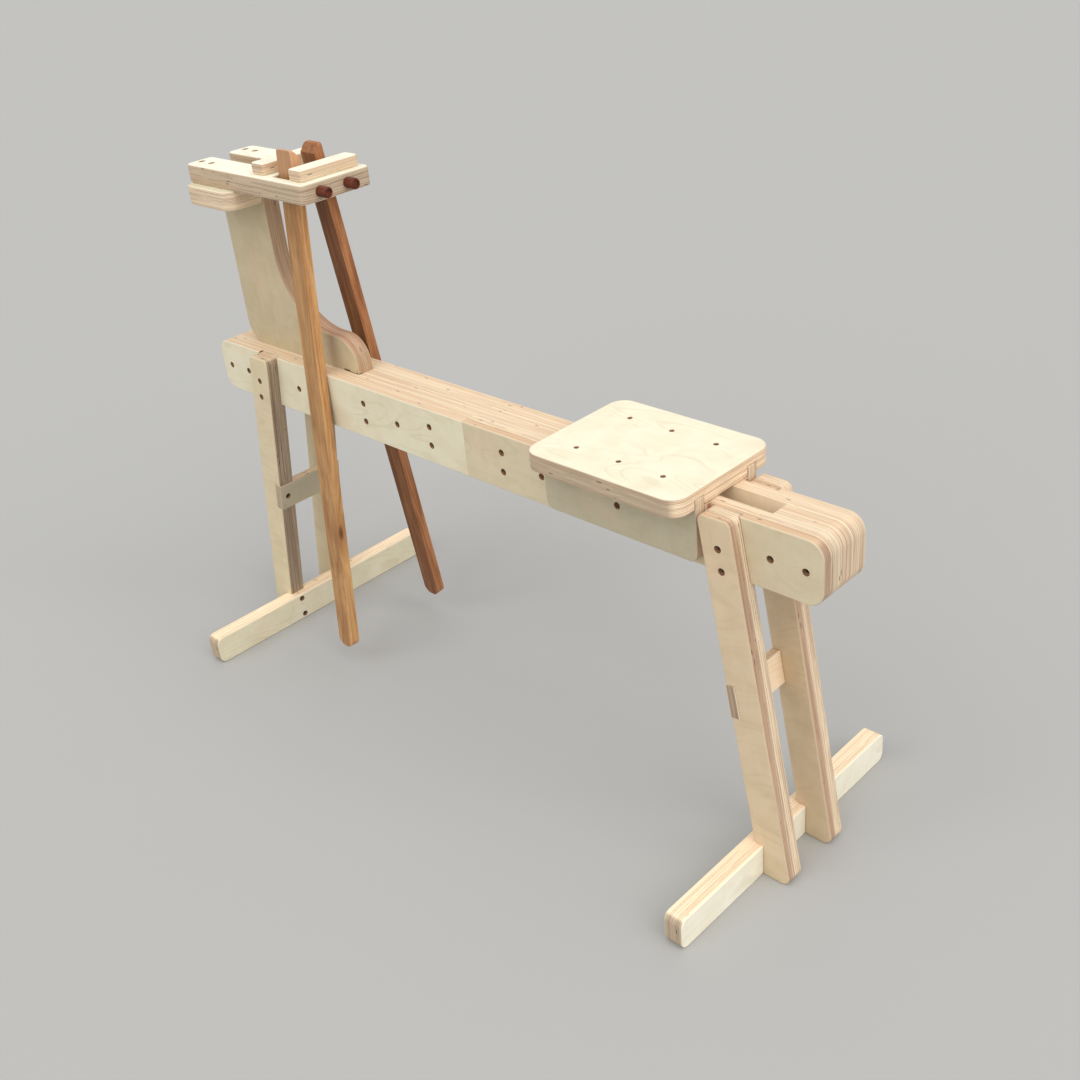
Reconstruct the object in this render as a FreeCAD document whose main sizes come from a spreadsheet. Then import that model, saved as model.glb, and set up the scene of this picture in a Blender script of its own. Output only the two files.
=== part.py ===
"""Shaving horse in birch plywood with two foot-operated swing arms.

Frame: +X runs from the work platform towards the seat and the tail of the beam,
-Y is the left side of somebody who sits on it, +Z is up. The origin lies on the
floor under the middle of the beam. All sizes are millimetres, angles degrees.
"""

import FreeCAD, Part
import os
import re

import Sketcher

Vector = FreeCAD.Vector
Rotation = FreeCAD.Rotation
Placement = FreeCAD.Placement

X_AXIS = Vector(1, 0, 0)
Y_AXIS = Vector(0, 1, 0)
Z_AXIS = Vector(0, 0, 1)

DIMENSIONS = {
    # plywood stock
    "board": 30.0,
    "cheek_board": 18.0,
    "rail_board": 15.0,
    "seat_board": 27.0,
    "rest_board": 18.0,
    # beam: three boards glued face to face
    "beam_length": 1247.0,
    "beam_depth": 90.0,
    "beam_top": 544.0,
    "beam_corner": 24.0,
    "splice_x": 7.0,
    "core_tail_length": 93.0,
    "core_middle_end_x": 193.5,
    "fit_gap": 0.3,
    # legs and what joins them
    "leg_top_x": 476.7,
    "leg_run": 50.8,
    "leg_angle": 9.68,
    "leg_corner": 10.0,
    "leg_toe": 13.0,
    "housing_depth": 9.0,
    "foot_bar_length": 490.0,
    "foot_bar_height": 50.4,
    "foot_bar_face_x": 550.0,
    "foot_bar_corner": 12.0,
    "rail_height": 50.0,
    "rail_front_z": 270.0,
    "rail_rear_z": 275.0,
    "rail_proud": 2.0,
    # tower
    "tower_front_x": -563.5,
    "tower_rear_x": -443.5,
    "tower_toe_x": -267.0,
    "tower_toe_z": 599.5,
    "tower_tenon_x": -526.5,
    "tower_neck": 120.0,
    "tower_toe": 45.0,
    "tower_heel": 36.0,
    "cap_width": 160.0,
    "cap_groove": 8.0,
    "cap_corner": 20.0,
    # platform and its rest bars
    "platform_front_x": -567.5,
    "platform_rear_x": -259.5,
    "platform_width": 131.0,
    "platform_top": 859.0,
    "platform_corner": 10.0,
    "horn_length": 130.0,
    "horn_gap": 30.0,
    "horn_corner": 8.0,
    "rest_width": 31.0,
    "rest_length": 110.0,
    "rest_corner": 5.0,
    "rest_front_x": -381.0,
    "rest_rear_x": -287.0,
    # swing arms and their pivots
    "arm_x": -329.5,
    "arm_width": 35.0,
    "arm_thickness": 17.6,
    "arm_below": 809.0,
    "arm_above": 53.0,
    "arm_foot_corner": 15.0,
    "jaw_corner": 4.0,
    "jaw_bevel": 12.0,
    "arm_left_angle": 4.1,
    "arm_right_angle": 7.0,
    "window_play_front": 6.0,
    "window_play_rear": 0.6,
    "window_width": 31.0,
    "pivot_left_y": -32.7,
    "pivot_right_y": 19.0,
    "rod_diameter": 8.0,
    "rod_seat": 25.0,
    "rod_clearance": 0.1,
    "knob_diameter": 17.0,
    "knob_length": 20.5,
    "knob_recess": 3.0,
    # seat
    "seat_length": 262.0,
    "seat_width": 203.0,
    "seat_rear_x": 450.0,
    "seat_corner": 25.0,
    "seat_gap": 0.2,
    "cheek_drop": 77.0,
    "cheek_groove": 13.5,
    "cheek_gap": 0.4,
    "cheek_corner": 12.0,
    # screws, the beam's from its nose to its tail
    "screw_x_nose": -598.0,
    "screw_x_front_leg": -547.0,
    "screw_x_tower": -401.0,
    "screw_x_toe": -227.7,
    "screw_x_middle": -148.0,
    "screw_x_front_splice": -70.7,
    "screw_x_rear_splice": 84.7,
    "screw_x_seat": 163.0,
    "screw_x_rear_leg": 547.0,
    "screw_x_tail": 598.0,
    "screw_bore": 10.4,
    "screw_sink": 7.0,
    "screw_head": 9.2,
    "screw_head_depth": 3.0,
    "screw_shank": 4.8,
    "screw_length": 36.0,
    "beam_screw_length": 75.0,
    "screw_pair": 30.8,
    "leg_screw_upper": 42.5,
    "leg_screw_lower": 73.0,
    "foot_screw_y": 54.0,
    "platform_screw_front": 13.5,
    "platform_screw_rear": 40.5,
    "platform_screw_y": 42.0,
    "seat_screw_pitch": 73.7,
    "clamp_drop": 34.0,
    # how far a cut runs past the board that it leaves
    "overrun": 1.0,
}

SCREW_SIDES = 6
PARALLEL = 1e-6
SAME_SPOT = 0.01

document = FreeCAD.newDocument("ShavingHorse")
sheet = document.addObject("Spreadsheet::Sheet", "Dims")
for row, (alias, size) in enumerate(DIMENSIONS.items(), start=1):
    sheet.set(f"A{row}", alias)
    sheet.set(f"B{row}", str(size))
    sheet.setAlias(f"B{row}", alias)
document.recompute()

LINKS = {alias: f"Dims.{alias}" for alias in DIMENSIONS}
nodes = []


def bind(text):
    """Turn bare dimension names into references to the sheet."""
    return re.sub(r"[a-z_]+", lambda word: LINKS.get(word.group(), word.group()), text)


def value(text):
    """Number that a dimension expression stands for."""
    return float(sheet.evalExpression(bind(text)))


def minus(text):
    """Expression for the same size on the other side of zero."""
    return f"-1 * ( {text} )"


def signed(sign, text):
    """Expression as it is for a positive sign, mirrored for a negative one."""
    return text if sign > 0 else minus(text)


# ---------------------------------------------------------------- sketch helpers


def new_body(label, x="0", y="0", z="0", rotation=None):
    """Empty body of one sub-part, placed by three expressions."""
    body = document.addObject("PartDesign::Body", label)
    body.Label = label
    place = Vector(value(x), value(y), value(z))
    body.Placement = Placement(place, rotation or Rotation())
    for axis, text in (("x", x), ("y", y), ("z", z)):
        body.setExpression(f"Placement.Base.{axis}", bind(text))
    nodes.append(body)
    return body


def new_sketch(body, name, plane, offset="0"):
    """Sketch on one of the body's origin planes, moved along its normal."""
    sketch = body.newObject("Sketcher::SketchObject", f"{body.Name}_{name}")
    support = [item for item in body.Origin.OriginFeatures if item.Role == plane][0]
    sketch.AttachmentSupport = (support, [""])
    sketch.MapMode = "FlatFace"
    sketch.setExpression(".AttachmentOffset.Base.z", bind(offset))
    return sketch


def hold_point(sketch, geometry, point, across, up):
    """Tie a point of a sketch to two expressions measured from the origin."""
    for kind, text in (("DistanceX", across), ("DistanceY", up)):
        constraint = Sketcher.Constraint(kind, -1, 1, geometry, point, value(text))
        index = sketch.addConstraint(constraint)
        sketch.setExpression(f"Constraints[{index}]", bind(text))


def draw_outline(sketch, corners):
    """Closed outline of straight lines through corners given as expressions."""
    first = sketch.GeometryCount
    count = len(corners)
    points = [Vector(value(across), value(up), 0) for across, up in corners]
    for index, start in enumerate(points):
        sketch.addGeometry(Part.LineSegment(start, points[(index + 1) % count]), False)
    for index in range(count):
        following = first + (index + 1) % count
        sketch.addConstraint(Sketcher.Constraint("Coincident", first + index, 2, following, 1))
    for index, (across, up) in enumerate(corners):
        hold_point(sketch, first + index, 1, across, up)


def draw_circles(sketch, centres, diameter):
    """Equal circles at centres given as expressions."""
    for across, up in centres:
        centre = Vector(value(across), value(up), 0)
        index = sketch.addGeometry(Part.Circle(centre, Z_AXIS, value(diameter) / 2), False)
        hold_point(sketch, index, 3, across, up)
        size = Sketcher.Constraint("Diameter", index, value(diameter))
        number = sketch.addConstraint(size)
        sketch.setExpression(f"Constraints[{number}]", bind(diameter))


def pad(body, plane, corners, thickness):
    """Board cut to an outline, its thickness centred on the sketch plane."""
    sketch = new_sketch(body, "outline", plane)
    draw_outline(sketch, corners)
    feature = body.newObject("PartDesign::Pad", f"{body.Name}_board")
    feature.Profile = sketch
    feature.Midplane = True
    feature.setExpression("Length", bind(thickness))
    document.recompute()
    return feature


def cut(body, name, sketch, depth, away):
    """Pocket from a sketch; away is True where it runs along the normal."""
    before = body.Shape.Volume
    feature = body.newObject("PartDesign::Pocket", f"{body.Name}_{name}")
    feature.Profile = sketch
    feature.Reversed = away
    feature.setExpression("Length", bind(depth))
    document.recompute()
    if not body.Shape.Volume < before:
        raise ValueError(f"{feature.Name} removes nothing")
    return feature


def round_corners(body, name, along, corners, radius):
    """Fillet the edges that run along an axis through the given corners."""
    wanted = [(value(across), value(up)) for across, up in corners]
    flat = [axis for axis in (X_AXIS, Y_AXIS, Z_AXIS) if axis != along]
    names = []
    for number, edge in enumerate(body.Tip.Shape.Edges, start=1):
        start, end = edge.Vertexes[0].Point, edge.Vertexes[-1].Point
        if (end - start).cross(along).Length > PARALLEL:
            continue
        spot = [start.dot(axis) for axis in flat]
        if any(abs(spot[0] - u) + abs(spot[1] - v) < SAME_SPOT for u, v in wanted):
            names.append(f"Edge{number}")
    if len(names) != len(wanted):
        raise ValueError(f"{body.Name}_{name} finds {len(names)} edges, not {len(wanted)}")
    base = body.Tip
    feature = body.newObject("PartDesign::Fillet", f"{body.Name}_{name}")
    feature.Base = (base, names)
    feature.setExpression("Radius", bind(radius))
    document.recompute()
    return feature


# ---------------------------------------------------------------- beam

BEAM_BOTTOM = "beam_top - beam_depth"
BEAM_MIDDLE = "beam_top - beam_depth / 2"
BEAM_FACE_Y = "3 * board / 2"
HEAD_END = "beam_length / -2"
TAIL_END = "beam_length / 2"
MIDDLE_START = "tower_toe_x + fit_gap"
SIDE_Y = "board"

SINGLE_SCREWS = ("screw_x_nose", "screw_x_front_leg", "screw_x_tower", "screw_x_middle",
                 "screw_x_seat", "screw_x_rear_leg", "screw_x_tail")
DOUBLE_SCREWS = ("screw_x_toe", "screw_x_front_splice", "screw_x_rear_splice")


def rectangle(left, right, low, high):
    """Corners of a rectangle, anticlockwise from the lower left."""
    return [(left, low), (right, low), (right, high), (left, high)]


def beam_board(label, start, end, y):
    """One length of beam lamination, rounded where it is an end of the beam."""
    body = new_body(label, y=y)
    pad(body, "XZ_Plane", rectangle(start, end, BEAM_BOTTOM, "beam_top"), "board")
    for outer in (HEAD_END, TAIL_END):
        if outer in (start, end):
            ends = [(outer, BEAM_BOTTOM), (outer, "beam_top")]
            round_corners(body, "nose", Y_AXIS, ends, "beam_corner")
    return body


def beam_screw_places():
    """Screw positions on the left of the beam, as pairs of expressions."""
    places = [(x, BEAM_MIDDLE) for x in SINGLE_SCREWS]
    for x in DOUBLE_SCREWS:
        for sign in ("+", "-"):
            places.append((x, f"{BEAM_MIDDLE} {sign} screw_pair / 2"))
    return places


def leg_edge(end, edge, z):
    """X of a leg's line at height z: edge is -0.5 inside, 0 centre, 0.5 outside."""
    x = f"leg_top_x + leg_run * {edge} + tan( leg_angle ) * ( beam_top - ( {z} ) )"
    return signed(end, x)


def outer_face(side, thickness):
    """Offset of the outer face along an XZ sketch normal, which points to -Y."""
    return signed(-side, f"{thickness} / 2")


def beam_side(label, start, end, side, leg_end):
    """Side lamination with its leg housing; the long screws all enter from the left."""
    body = beam_board(label, start, end, signed(side, SIDE_Y))
    low, high = f"{BEAM_BOTTOM} - overrun", "beam_top + overrun"
    housing = new_sketch(body, "housing", "XZ_Plane", outer_face(side, "board"))
    draw_outline(housing, [
        (leg_edge(leg_end, "-0.5", low), low),
        (leg_edge(leg_end, "0.5", low), low),
        (leg_edge(leg_end, "0.5", high), high),
        (leg_edge(leg_end, "-0.5", high), high),
    ])
    cut(body, "leg_housing", housing, "housing_depth", side > 0)
    if side < 0:
        places = [place for place in beam_screw_places()
                  if value(start) < value(place[0]) < value(end)]
        bores = new_sketch(body, "bores", "XZ_Plane", outer_face(side, "board"))
        draw_circles(bores, places, "screw_bore")
        cut(body, "screw_bores", bores, "screw_sink", False)


beam_board("beam_core_front", HEAD_END, "tower_tenon_x - fit_gap", "0")
beam_board("beam_core_middle", MIDDLE_START, "core_middle_end_x", "0")
beam_board("beam_core_rear", "beam_length / 2 - core_tail_length", TAIL_END, "0")
for side_name, side in (("left", -1), ("right", 1)):
    beam_side(f"beam_side_{side_name}_front", HEAD_END, "splice_x", side, -1)
    beam_side(f"beam_side_{side_name}_rear", "splice_x", TAIL_END, side, 1)

# ---------------------------------------------------------------- legs

LEG_Y = "2 * board - housing_depth"
LEG_SCREW_HEIGHTS = ("beam_top - leg_screw_upper", "beam_top - leg_screw_lower")
RAIL_BITE = "( rail_board - rail_proud )"
RAIL_LEVEL = {-1: "rail_front_z", 1: "rail_rear_z"}


def rail_seat(end, depth, step):
    """Corner of the rail's notch: depth into the leg, step along it from the rail's middle."""
    z = f"( {RAIL_LEVEL[end]} + {step} * rail_height / 2 * cos( leg_angle ) )"
    x = f"{leg_edge(1, '-0.5', z)} + {depth} * cos( leg_angle )"
    return signed(end, x), f"{z} + {depth} * sin( leg_angle )"


def leg(label, end, side):
    """Raked leg with a notch for its foot bar and one for its cross rail."""
    body = new_body(label, y=signed(side, LEG_Y))
    bar_face = signed(end, "foot_bar_face_x")
    top_inside = (leg_edge(end, "-0.5", "beam_top"), "beam_top")
    top_outside = (leg_edge(end, "0.5", "beam_top"), "beam_top")
    toe = (leg_edge(end, "0.5", "0"), "0")
    pad(body, "XZ_Plane", [
        top_inside,
        top_outside,
        toe,
        (bar_face, "0"),
        (bar_face, "foot_bar_height"),
        (leg_edge(end, "-0.5", "foot_bar_height"), "foot_bar_height"),
        rail_seat(end, "0", "-1"),
        rail_seat(end, RAIL_BITE, "-1"),
        rail_seat(end, RAIL_BITE, "1"),
        rail_seat(end, "0", "1"),
    ], "board")
    round_corners(body, "shoulders", Y_AXIS, [top_inside, top_outside], "leg_corner")
    round_corners(body, "toe", Y_AXIS, [toe], "leg_toe")
    bores = new_sketch(body, "bores", "XZ_Plane", outer_face(side, "board"))
    draw_circles(bores, [(leg_edge(end, "0", z), z) for z in LEG_SCREW_HEIGHTS], "screw_bore")
    cut(body, "screw_bores", bores, "screw_sink", side > 0)


for end_name, end in (("front", -1), ("rear", 1)):
    for side_name, side in (("left", -1), ("right", 1)):
        leg(f"leg_{end_name}_{side_name}", end, side)

# ---------------------------------------------------------------- foot bars and rails

FOOT_SCREW_HEIGHTS = ("foot_bar_height / 6", "foot_bar_height * 5 / 6")
FOOT_BAR_X = "foot_bar_face_x - board / 2"


def foot_bar(label, end):
    """Bar across the floor, screwed to both legs from its inner face."""
    body = new_body(label, x=signed(end, FOOT_BAR_X))
    corners = rectangle("foot_bar_length / -2", "foot_bar_length / 2", "0", "foot_bar_height")
    pad(body, "YZ_Plane", corners, "board")
    round_corners(body, "ends", X_AXIS, corners, "foot_bar_corner")
    bores = new_sketch(body, "bores", "YZ_Plane", signed(-end, "board / 2"))
    places = [(signed(side, "foot_screw_y"), z) for side in (-1, 1) for z in FOOT_SCREW_HEIGHTS]
    draw_circles(bores, places, "screw_bore")
    cut(body, "screw_bores", bores, "screw_sink", end > 0)


RAIL_DEEP = "( rail_board / 2 - rail_proud )"
RAIL_HALF = f"{LEG_Y} + board / 2"
RAIL_HEAD = "( rail_board / 2 + screw_sink / 2 )"


def rail_x(end):
    """Distance of a rail's middle from the middle of the horse."""
    return f"{leg_edge(1, '-0.5', RAIL_LEVEL[end])} + {RAIL_DEEP} * cos( leg_angle )"


def rail_z(end):
    """Height of a rail's middle."""
    return f"{RAIL_LEVEL[end]} + {RAIL_DEEP} * sin( leg_angle )"


def cross_rail(label, end):
    """Rail let into the inner edges of a pair of legs and raked with them."""
    lean = Rotation(Y_AXIS, -end * value("leg_angle"))
    body = new_body(label, x=signed(end, rail_x(end)), z=rail_z(end), rotation=lean)
    pad(body, "YZ_Plane", rectangle(minus(RAIL_HALF), RAIL_HALF, "rail_height / -2",
                                    "rail_height / 2"), "rail_board")
    bores = new_sketch(body, "bores", "YZ_Plane", signed(-end, "rail_board / 2"))
    draw_circles(bores, [(signed(side, LEG_Y), "0") for side in (-1, 1)], "screw_bore")
    cut(body, "screw_bores", bores, "screw_sink / 2", end > 0)


for end_name, end in (("front", -1), ("rear", 1)):
    foot_bar(f"foot_bar_{end_name}", end)
    cross_rail(f"cross_rail_{end_name}", end)

# ---------------------------------------------------------------- tower and its cap

PLATFORM_BOTTOM = "platform_top - board"
CAP_BOTTOM = "platform_top - 2 * board"
CAP_LENGTH = "tower_rear_x - tower_front_x"


def tower():
    """Upright board whose foot goes down between the beam's side boards as a tenon."""
    body = new_body("tower")
    top = f"{CAP_BOTTOM} + cap_groove"
    heel = ("tower_front_x", "beam_top")
    neck = ("tower_rear_x", "tower_toe_z")
    toe = ("tower_toe_x", "tower_toe_z")
    pad(body, "XZ_Plane", [
        heel,
        ("tower_tenon_x", "beam_top"),
        ("tower_tenon_x", BEAM_BOTTOM),
        ("tower_toe_x", BEAM_BOTTOM),
        toe,
        neck,
        ("tower_rear_x", top),
        ("tower_front_x", top),
    ], "board")
    round_corners(body, "neck_sweep", Y_AXIS, [neck], "tower_neck")
    round_corners(body, "toe_sweep", Y_AXIS, [toe], "tower_toe")
    round_corners(body, "heel_sweep", Y_AXIS, [heel], "tower_heel")


def tower_cap():
    """Cross board that sits astride the top of the tower and carries the platform."""
    body = new_body("tower_cap", x="tower_front_x", z=f"{CAP_BOTTOM} + board / 2")
    corners = rectangle("0", CAP_LENGTH, "cap_width / -2", "cap_width / 2")
    pad(body, "XY_Plane", corners, "board")
    round_corners(body, "corners", Z_AXIS, corners, "cap_corner")
    groove = new_sketch(body, "groove", "XY_Plane", "board / -2")
    draw_outline(groove, rectangle("-1 * overrun", f"{CAP_LENGTH} + overrun",
                                   "board / -2", "board / 2"))
    cut(body, "tower_groove", groove, "cap_groove", True)


tower()
tower_cap()

# ---------------------------------------------------------------- platform

PIVOT_Z = "platform_top - board / 2"
PLATFORM_SCREWS_X = ("platform_front_x + platform_screw_front",
                     "platform_front_x + platform_screw_rear")
WINDOW_FRONT = "arm_x - arm_width / 2 - window_play_front"
WINDOW_REAR = "arm_x + arm_width / 2 + window_play_rear"
PIVOT_Y = {-1: "pivot_left_y", 1: "pivot_right_y"}
SLOT_END_X = "platform_front_x + horn_length"


def platform():
    """Forked board with two windows for the arms and a bore for each pivot rod."""
    body = new_body("platform", z=PIVOT_Z)
    half = "platform_width / 2"
    gap = "horn_gap / 2"
    outer = rectangle("platform_front_x", "platform_rear_x", minus(half), half)
    horn_tips = [("platform_front_x", gap), ("platform_front_x", minus(gap))]
    slot_end = [(SLOT_END_X, gap), (SLOT_END_X, minus(gap))]
    pad(body, "XY_Plane", outer + [horn_tips[0], slot_end[0], slot_end[1], horn_tips[1]], "board")
    round_corners(body, "corners", Z_AXIS, outer, "platform_corner")
    round_corners(body, "horn_tips", Z_AXIS, horn_tips + slot_end, "horn_corner")
    windows = new_sketch(body, "windows", "XY_Plane", "board / 2")
    for pivot in PIVOT_Y.values():
        low, high = f"{pivot} - window_width / 2", f"{pivot} + window_width / 2"
        draw_outline(windows, rectangle(WINDOW_FRONT, WINDOW_REAR, low, high))
    cut(body, "arm_windows", windows, "board", False)
    rods = new_sketch(body, "rods", "YZ_Plane", "platform_rear_x")
    draw_circles(rods, [(pivot, "0") for pivot in PIVOT_Y.values()], "rod_diameter")
    cut(body, "rod_bores", rods, f"platform_rear_x - ( {WINDOW_FRONT} ) + rod_seat", False)
    bores = new_sketch(body, "bores", "XY_Plane", "board / 2")
    places = [(x, signed(side, "platform_screw_y")) for x in PLATFORM_SCREWS_X for side in (-1, 1)]
    draw_circles(bores, places, "screw_bore")
    cut(body, "screw_bores", bores, "screw_sink", False)


def rest_bar(label, x):
    """Low bar that the work lies on, glued across the platform."""
    body = new_body(label, x=x, z="platform_top + rest_board / 2")
    corners = rectangle("rest_width / -2", "rest_width / 2", "rest_length / -2", "rest_length / 2")
    pad(body, "XY_Plane", corners, "rest_board")
    round_corners(body, "ends", Z_AXIS, corners, "rest_corner")


platform()
rest_bar("rest_bar_front", "rest_front_x")
rest_bar("rest_bar_rear", "rest_rear_x")

# ---------------------------------------------------------------- swing arms and pivots


def swing_arm(label, side, angle):
    """Arm hung on its rod: jaw above the platform, treadle end near the floor."""
    lean = Rotation(X_AXIS, side * value(angle))
    body = new_body(label, x="arm_x", y=PIVOT_Y[side], z=PIVOT_Z, rotation=lean)
    jaw = [("arm_width / -2", "arm_above"), ("arm_width / 2", "arm_above")]
    foot = [("arm_width / 2", "-1 * arm_below"), ("arm_width / -2", "-1 * arm_below")]
    pad(body, "XZ_Plane", jaw + foot, "arm_thickness")
    round_corners(body, "foot", Y_AXIS, foot, "arm_foot_corner")
    round_corners(body, "jaw", Y_AXIS, jaw, "jaw_corner")
    inner = signed(-side, "arm_thickness / 2")
    bevel = new_sketch(body, "bevel", "YZ_Plane", "arm_width / 2")
    draw_outline(bevel, [
        (inner, "arm_above"),
        (inner, "arm_above - jaw_bevel"),
        (f"{inner} + {signed(side, 'jaw_bevel')}", "arm_above"),
    ])
    cut(body, "jaw_bevel", bevel, "arm_width", False)
    bore = new_sketch(body, "bore", "YZ_Plane", "arm_width / 2")
    draw_circles(bore, [("0", "0")], "rod_diameter + rod_clearance")
    cut(body, "rod_bore", bore, "arm_width", False)


def turned_pin(label, start, end, side, diameter):
    """Round rod or knob on a pivot axis, turned between two X positions."""
    body = new_body(label, y=PIVOT_Y[side], z=PIVOT_Z)
    sketch = new_sketch(body, "section", "YZ_Plane", start)
    draw_circles(sketch, [("0", "0")], diameter)
    feature = body.newObject("PartDesign::Pad", f"{label}_round")
    feature.Profile = sketch
    feature.setExpression("Length", bind(f"{end} - ( {start} )"))
    document.recompute()


ROD_START = f"{WINDOW_FRONT} - rod_seat"
ROD_END = "platform_rear_x + knob_length - knob_recess"
KNOB_END = "platform_rear_x + knob_length"

for side_name, side in (("left", -1), ("right", 1)):
    swing_arm(f"swing_arm_{side_name}", side, f"arm_{side_name}_angle")
    turned_pin(f"pivot_rod_{side_name}", ROD_START, ROD_END, side, "rod_diameter")
    turned_pin(f"pivot_knob_{side_name}", "platform_rear_x", KNOB_END, side, "knob_diameter")

# ---------------------------------------------------------------- seat

SEAT_BOTTOM = "( beam_top + seat_gap )"
SEAT_TOP = f"{SEAT_BOTTOM} + seat_board"
CHEEK_Y = f"{BEAM_FACE_Y} + cheek_gap + cheek_board / 2"
SEAT_FRONT = "seat_rear_x - seat_length"
SEAT_SCREWS_X = ("-1 * seat_screw_pitch", "0", "seat_screw_pitch")
SEAT_MIDDLE = "seat_rear_x - seat_length / 2"
CLAMP_Z = f"{SEAT_BOTTOM} - clamp_drop"


def seat():
    """Seat board grooved for the two cheeks that straddle the beam and screwed to them."""
    body = new_body("seat_board", x=SEAT_MIDDLE, z=f"{SEAT_BOTTOM} + seat_board / 2")
    corners = rectangle("seat_length / -2", "seat_length / 2", "seat_width / -2", "seat_width / 2")
    pad(body, "XY_Plane", corners, "seat_board")
    round_corners(body, "corners", Z_AXIS, corners, "seat_corner")
    grooves = new_sketch(body, "grooves", "XY_Plane", "seat_board / -2")
    for side in (-1, 1):
        middle = signed(side, CHEEK_Y)
        draw_outline(grooves, rectangle("seat_length / -2 - overrun", "seat_length / 2 + overrun",
                                        f"{middle} - cheek_board / 2",
                                        f"{middle} + cheek_board / 2"))
    cut(body, "cheek_grooves", grooves, "cheek_groove", True)
    bores = new_sketch(body, "bores", "XY_Plane", "seat_board / 2")
    places = [(x, signed(side, CHEEK_Y)) for side in (-1, 1) for x in SEAT_SCREWS_X]
    draw_circles(bores, places, "screw_bore")
    cut(body, "screw_bores", bores, "screw_sink", False)


def seat_cheek(label, side):
    """Cheek let into the seat that guides it along one side of the beam, with its clamp hole."""
    body = new_body(label, x=SEAT_MIDDLE, y=signed(side, CHEEK_Y), z=SEAT_BOTTOM)
    corners = rectangle("seat_length / -2", "seat_length / 2", "-1 * cheek_drop", "cheek_groove")
    pad(body, "XZ_Plane", corners, "cheek_board")
    round_corners(body, "lower_corners", Y_AXIS, corners[:2], "cheek_corner")
    bores = new_sketch(body, "bores", "XZ_Plane", outer_face(side, "cheek_board"))
    draw_circles(bores, [("0", f"{CLAMP_Z} - {SEAT_BOTTOM}")], "screw_bore")
    cut(body, "clamp_bore", bores, "screw_sink", side > 0)


seat()
for side_name, side in (("left", -1), ("right", 1)):
    seat_cheek(f"seat_cheek_{side_name}", side)

# ---------------------------------------------------------------- screws


def screw_shape(length):
    """Countersunk wood screw pointing down from the origin, six-sided to keep it light."""
    turns = [Rotation(Z_AXIS, 360 / SCREW_SIDES * step) for step in range(SCREW_SIDES + 1)]
    rim = [turn.multVec(Vector(value("screw_head") / 2, 0, 0)) for turn in turns]
    neck_start = Vector(value("screw_shank") / 2, 0, -value("screw_head_depth"))
    neck = [turn.multVec(neck_start) for turn in turns]
    point = Vector(0, 0, -length)
    outlines = [rim]
    for step in range(SCREW_SIDES):
        outlines.append([rim[step], rim[step + 1], neck[step + 1], neck[step], rim[step]])
        outlines.append([neck[step], neck[step + 1], point, neck[step]])
    faces = [Part.Face(Part.makePolygon(outline)) for outline in outlines]
    return Part.makeSolid(Part.makeShell(faces))


def screw_group(label, places, length="screw_length"):
    """All equal screws of one place on the horse; each place is a head and a direction."""
    screws = []
    for x, y, z, direction in places:
        screw = screw_shape(value(length))
        head = Vector(value(x), value(y), value(z)) + direction * value("screw_sink")
        screw.Placement = Placement(head, Rotation(-Z_AXIS, direction))
        screws.append(screw)
    group = document.addObject("Part::Feature", label)
    group.Label = label
    group.Shape = Part.makeCompound(screws)
    nodes.append(group)


def inward(side):
    """Direction of a screw driven towards the middle from the left or the right."""
    return Vector(0, -side, 0)


LEG_FACE_Y = f"{LEG_Y} + board / 2"
CHEEK_FACE_Y = f"{CHEEK_Y} + cheek_board / 2"

screw_group("beam_screws",
            [(x, minus(BEAM_FACE_Y), z, inward(-1)) for x, z in beam_screw_places()],
            "beam_screw_length")

screw_group("leg_screws", [
    (leg_edge(end, "0", z), signed(side, LEG_FACE_Y), z, inward(side))
    for end in (-1, 1) for side in (-1, 1) for z in LEG_SCREW_HEIGHTS
])
screw_group("foot_bar_screws", [
    (signed(end, "foot_bar_face_x - board"), signed(side, "foot_screw_y"), z, Vector(end, 0, 0))
    for end in (-1, 1) for side in (-1, 1) for z in FOOT_SCREW_HEIGHTS
])


def rail_screw_places():
    """Heads on the inner faces of the raked rails, half as deep as the others."""
    places = []
    for end in (-1, 1):
        lean = value("leg_angle")
        driven = Rotation(Y_AXIS, -end * lean).multVec(Vector(end, 0, 0))
        x = signed(end, f"{rail_x(end)} - {RAIL_HEAD} * cos( leg_angle )")
        z = f"{rail_z(end)} - {RAIL_HEAD} * sin( leg_angle )"
        places += [(x, signed(side, LEG_Y), z, driven) for side in (-1, 1)]
    return places


screw_group("cross_rail_screws", rail_screw_places())
screw_group("platform_screws", [
    (x, signed(side, "platform_screw_y"), "platform_top", -Z_AXIS)
    for x in PLATFORM_SCREWS_X for side in (-1, 1)
])
screw_group("seat_screws", [
    (f"{SEAT_MIDDLE} + {x}", signed(side, CHEEK_Y), SEAT_TOP, -Z_AXIS)
    for x in SEAT_SCREWS_X for side in (-1, 1)
])
screw_group("seat_clamp_screws", [
    (SEAT_MIDDLE, signed(side, CHEEK_FACE_Y), CLAMP_Z, inward(side)) for side in (-1, 1)
], "cheek_board - screw_sink")

# ---------------------------------------------------------------- checks and export

document.recompute()
for item in document.Objects:
    if "Invalid" in item.State or "Error" in item.State:
        raise ValueError(f"{item.Label} did not build: {item.State}")
for node in nodes:
    if node.Shape.isNull() or not node.Shape.isValid():
        raise ValueError(f"{node.Label} has no valid shape")

os.makedirs("parts", exist_ok=True)
for node in nodes:
    node.Shape.exportStep(f"parts/{node.Label}.step")
    box = node.Shape.BoundBox
    print(f"{node.Label}: {box.XMin:.1f} {box.YMin:.1f} {box.ZMin:.1f} .. "
          f"{box.XMax:.1f} {box.YMax:.1f} {box.ZMax:.1f}, {len(node.Shape.Solids)} solid")
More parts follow.
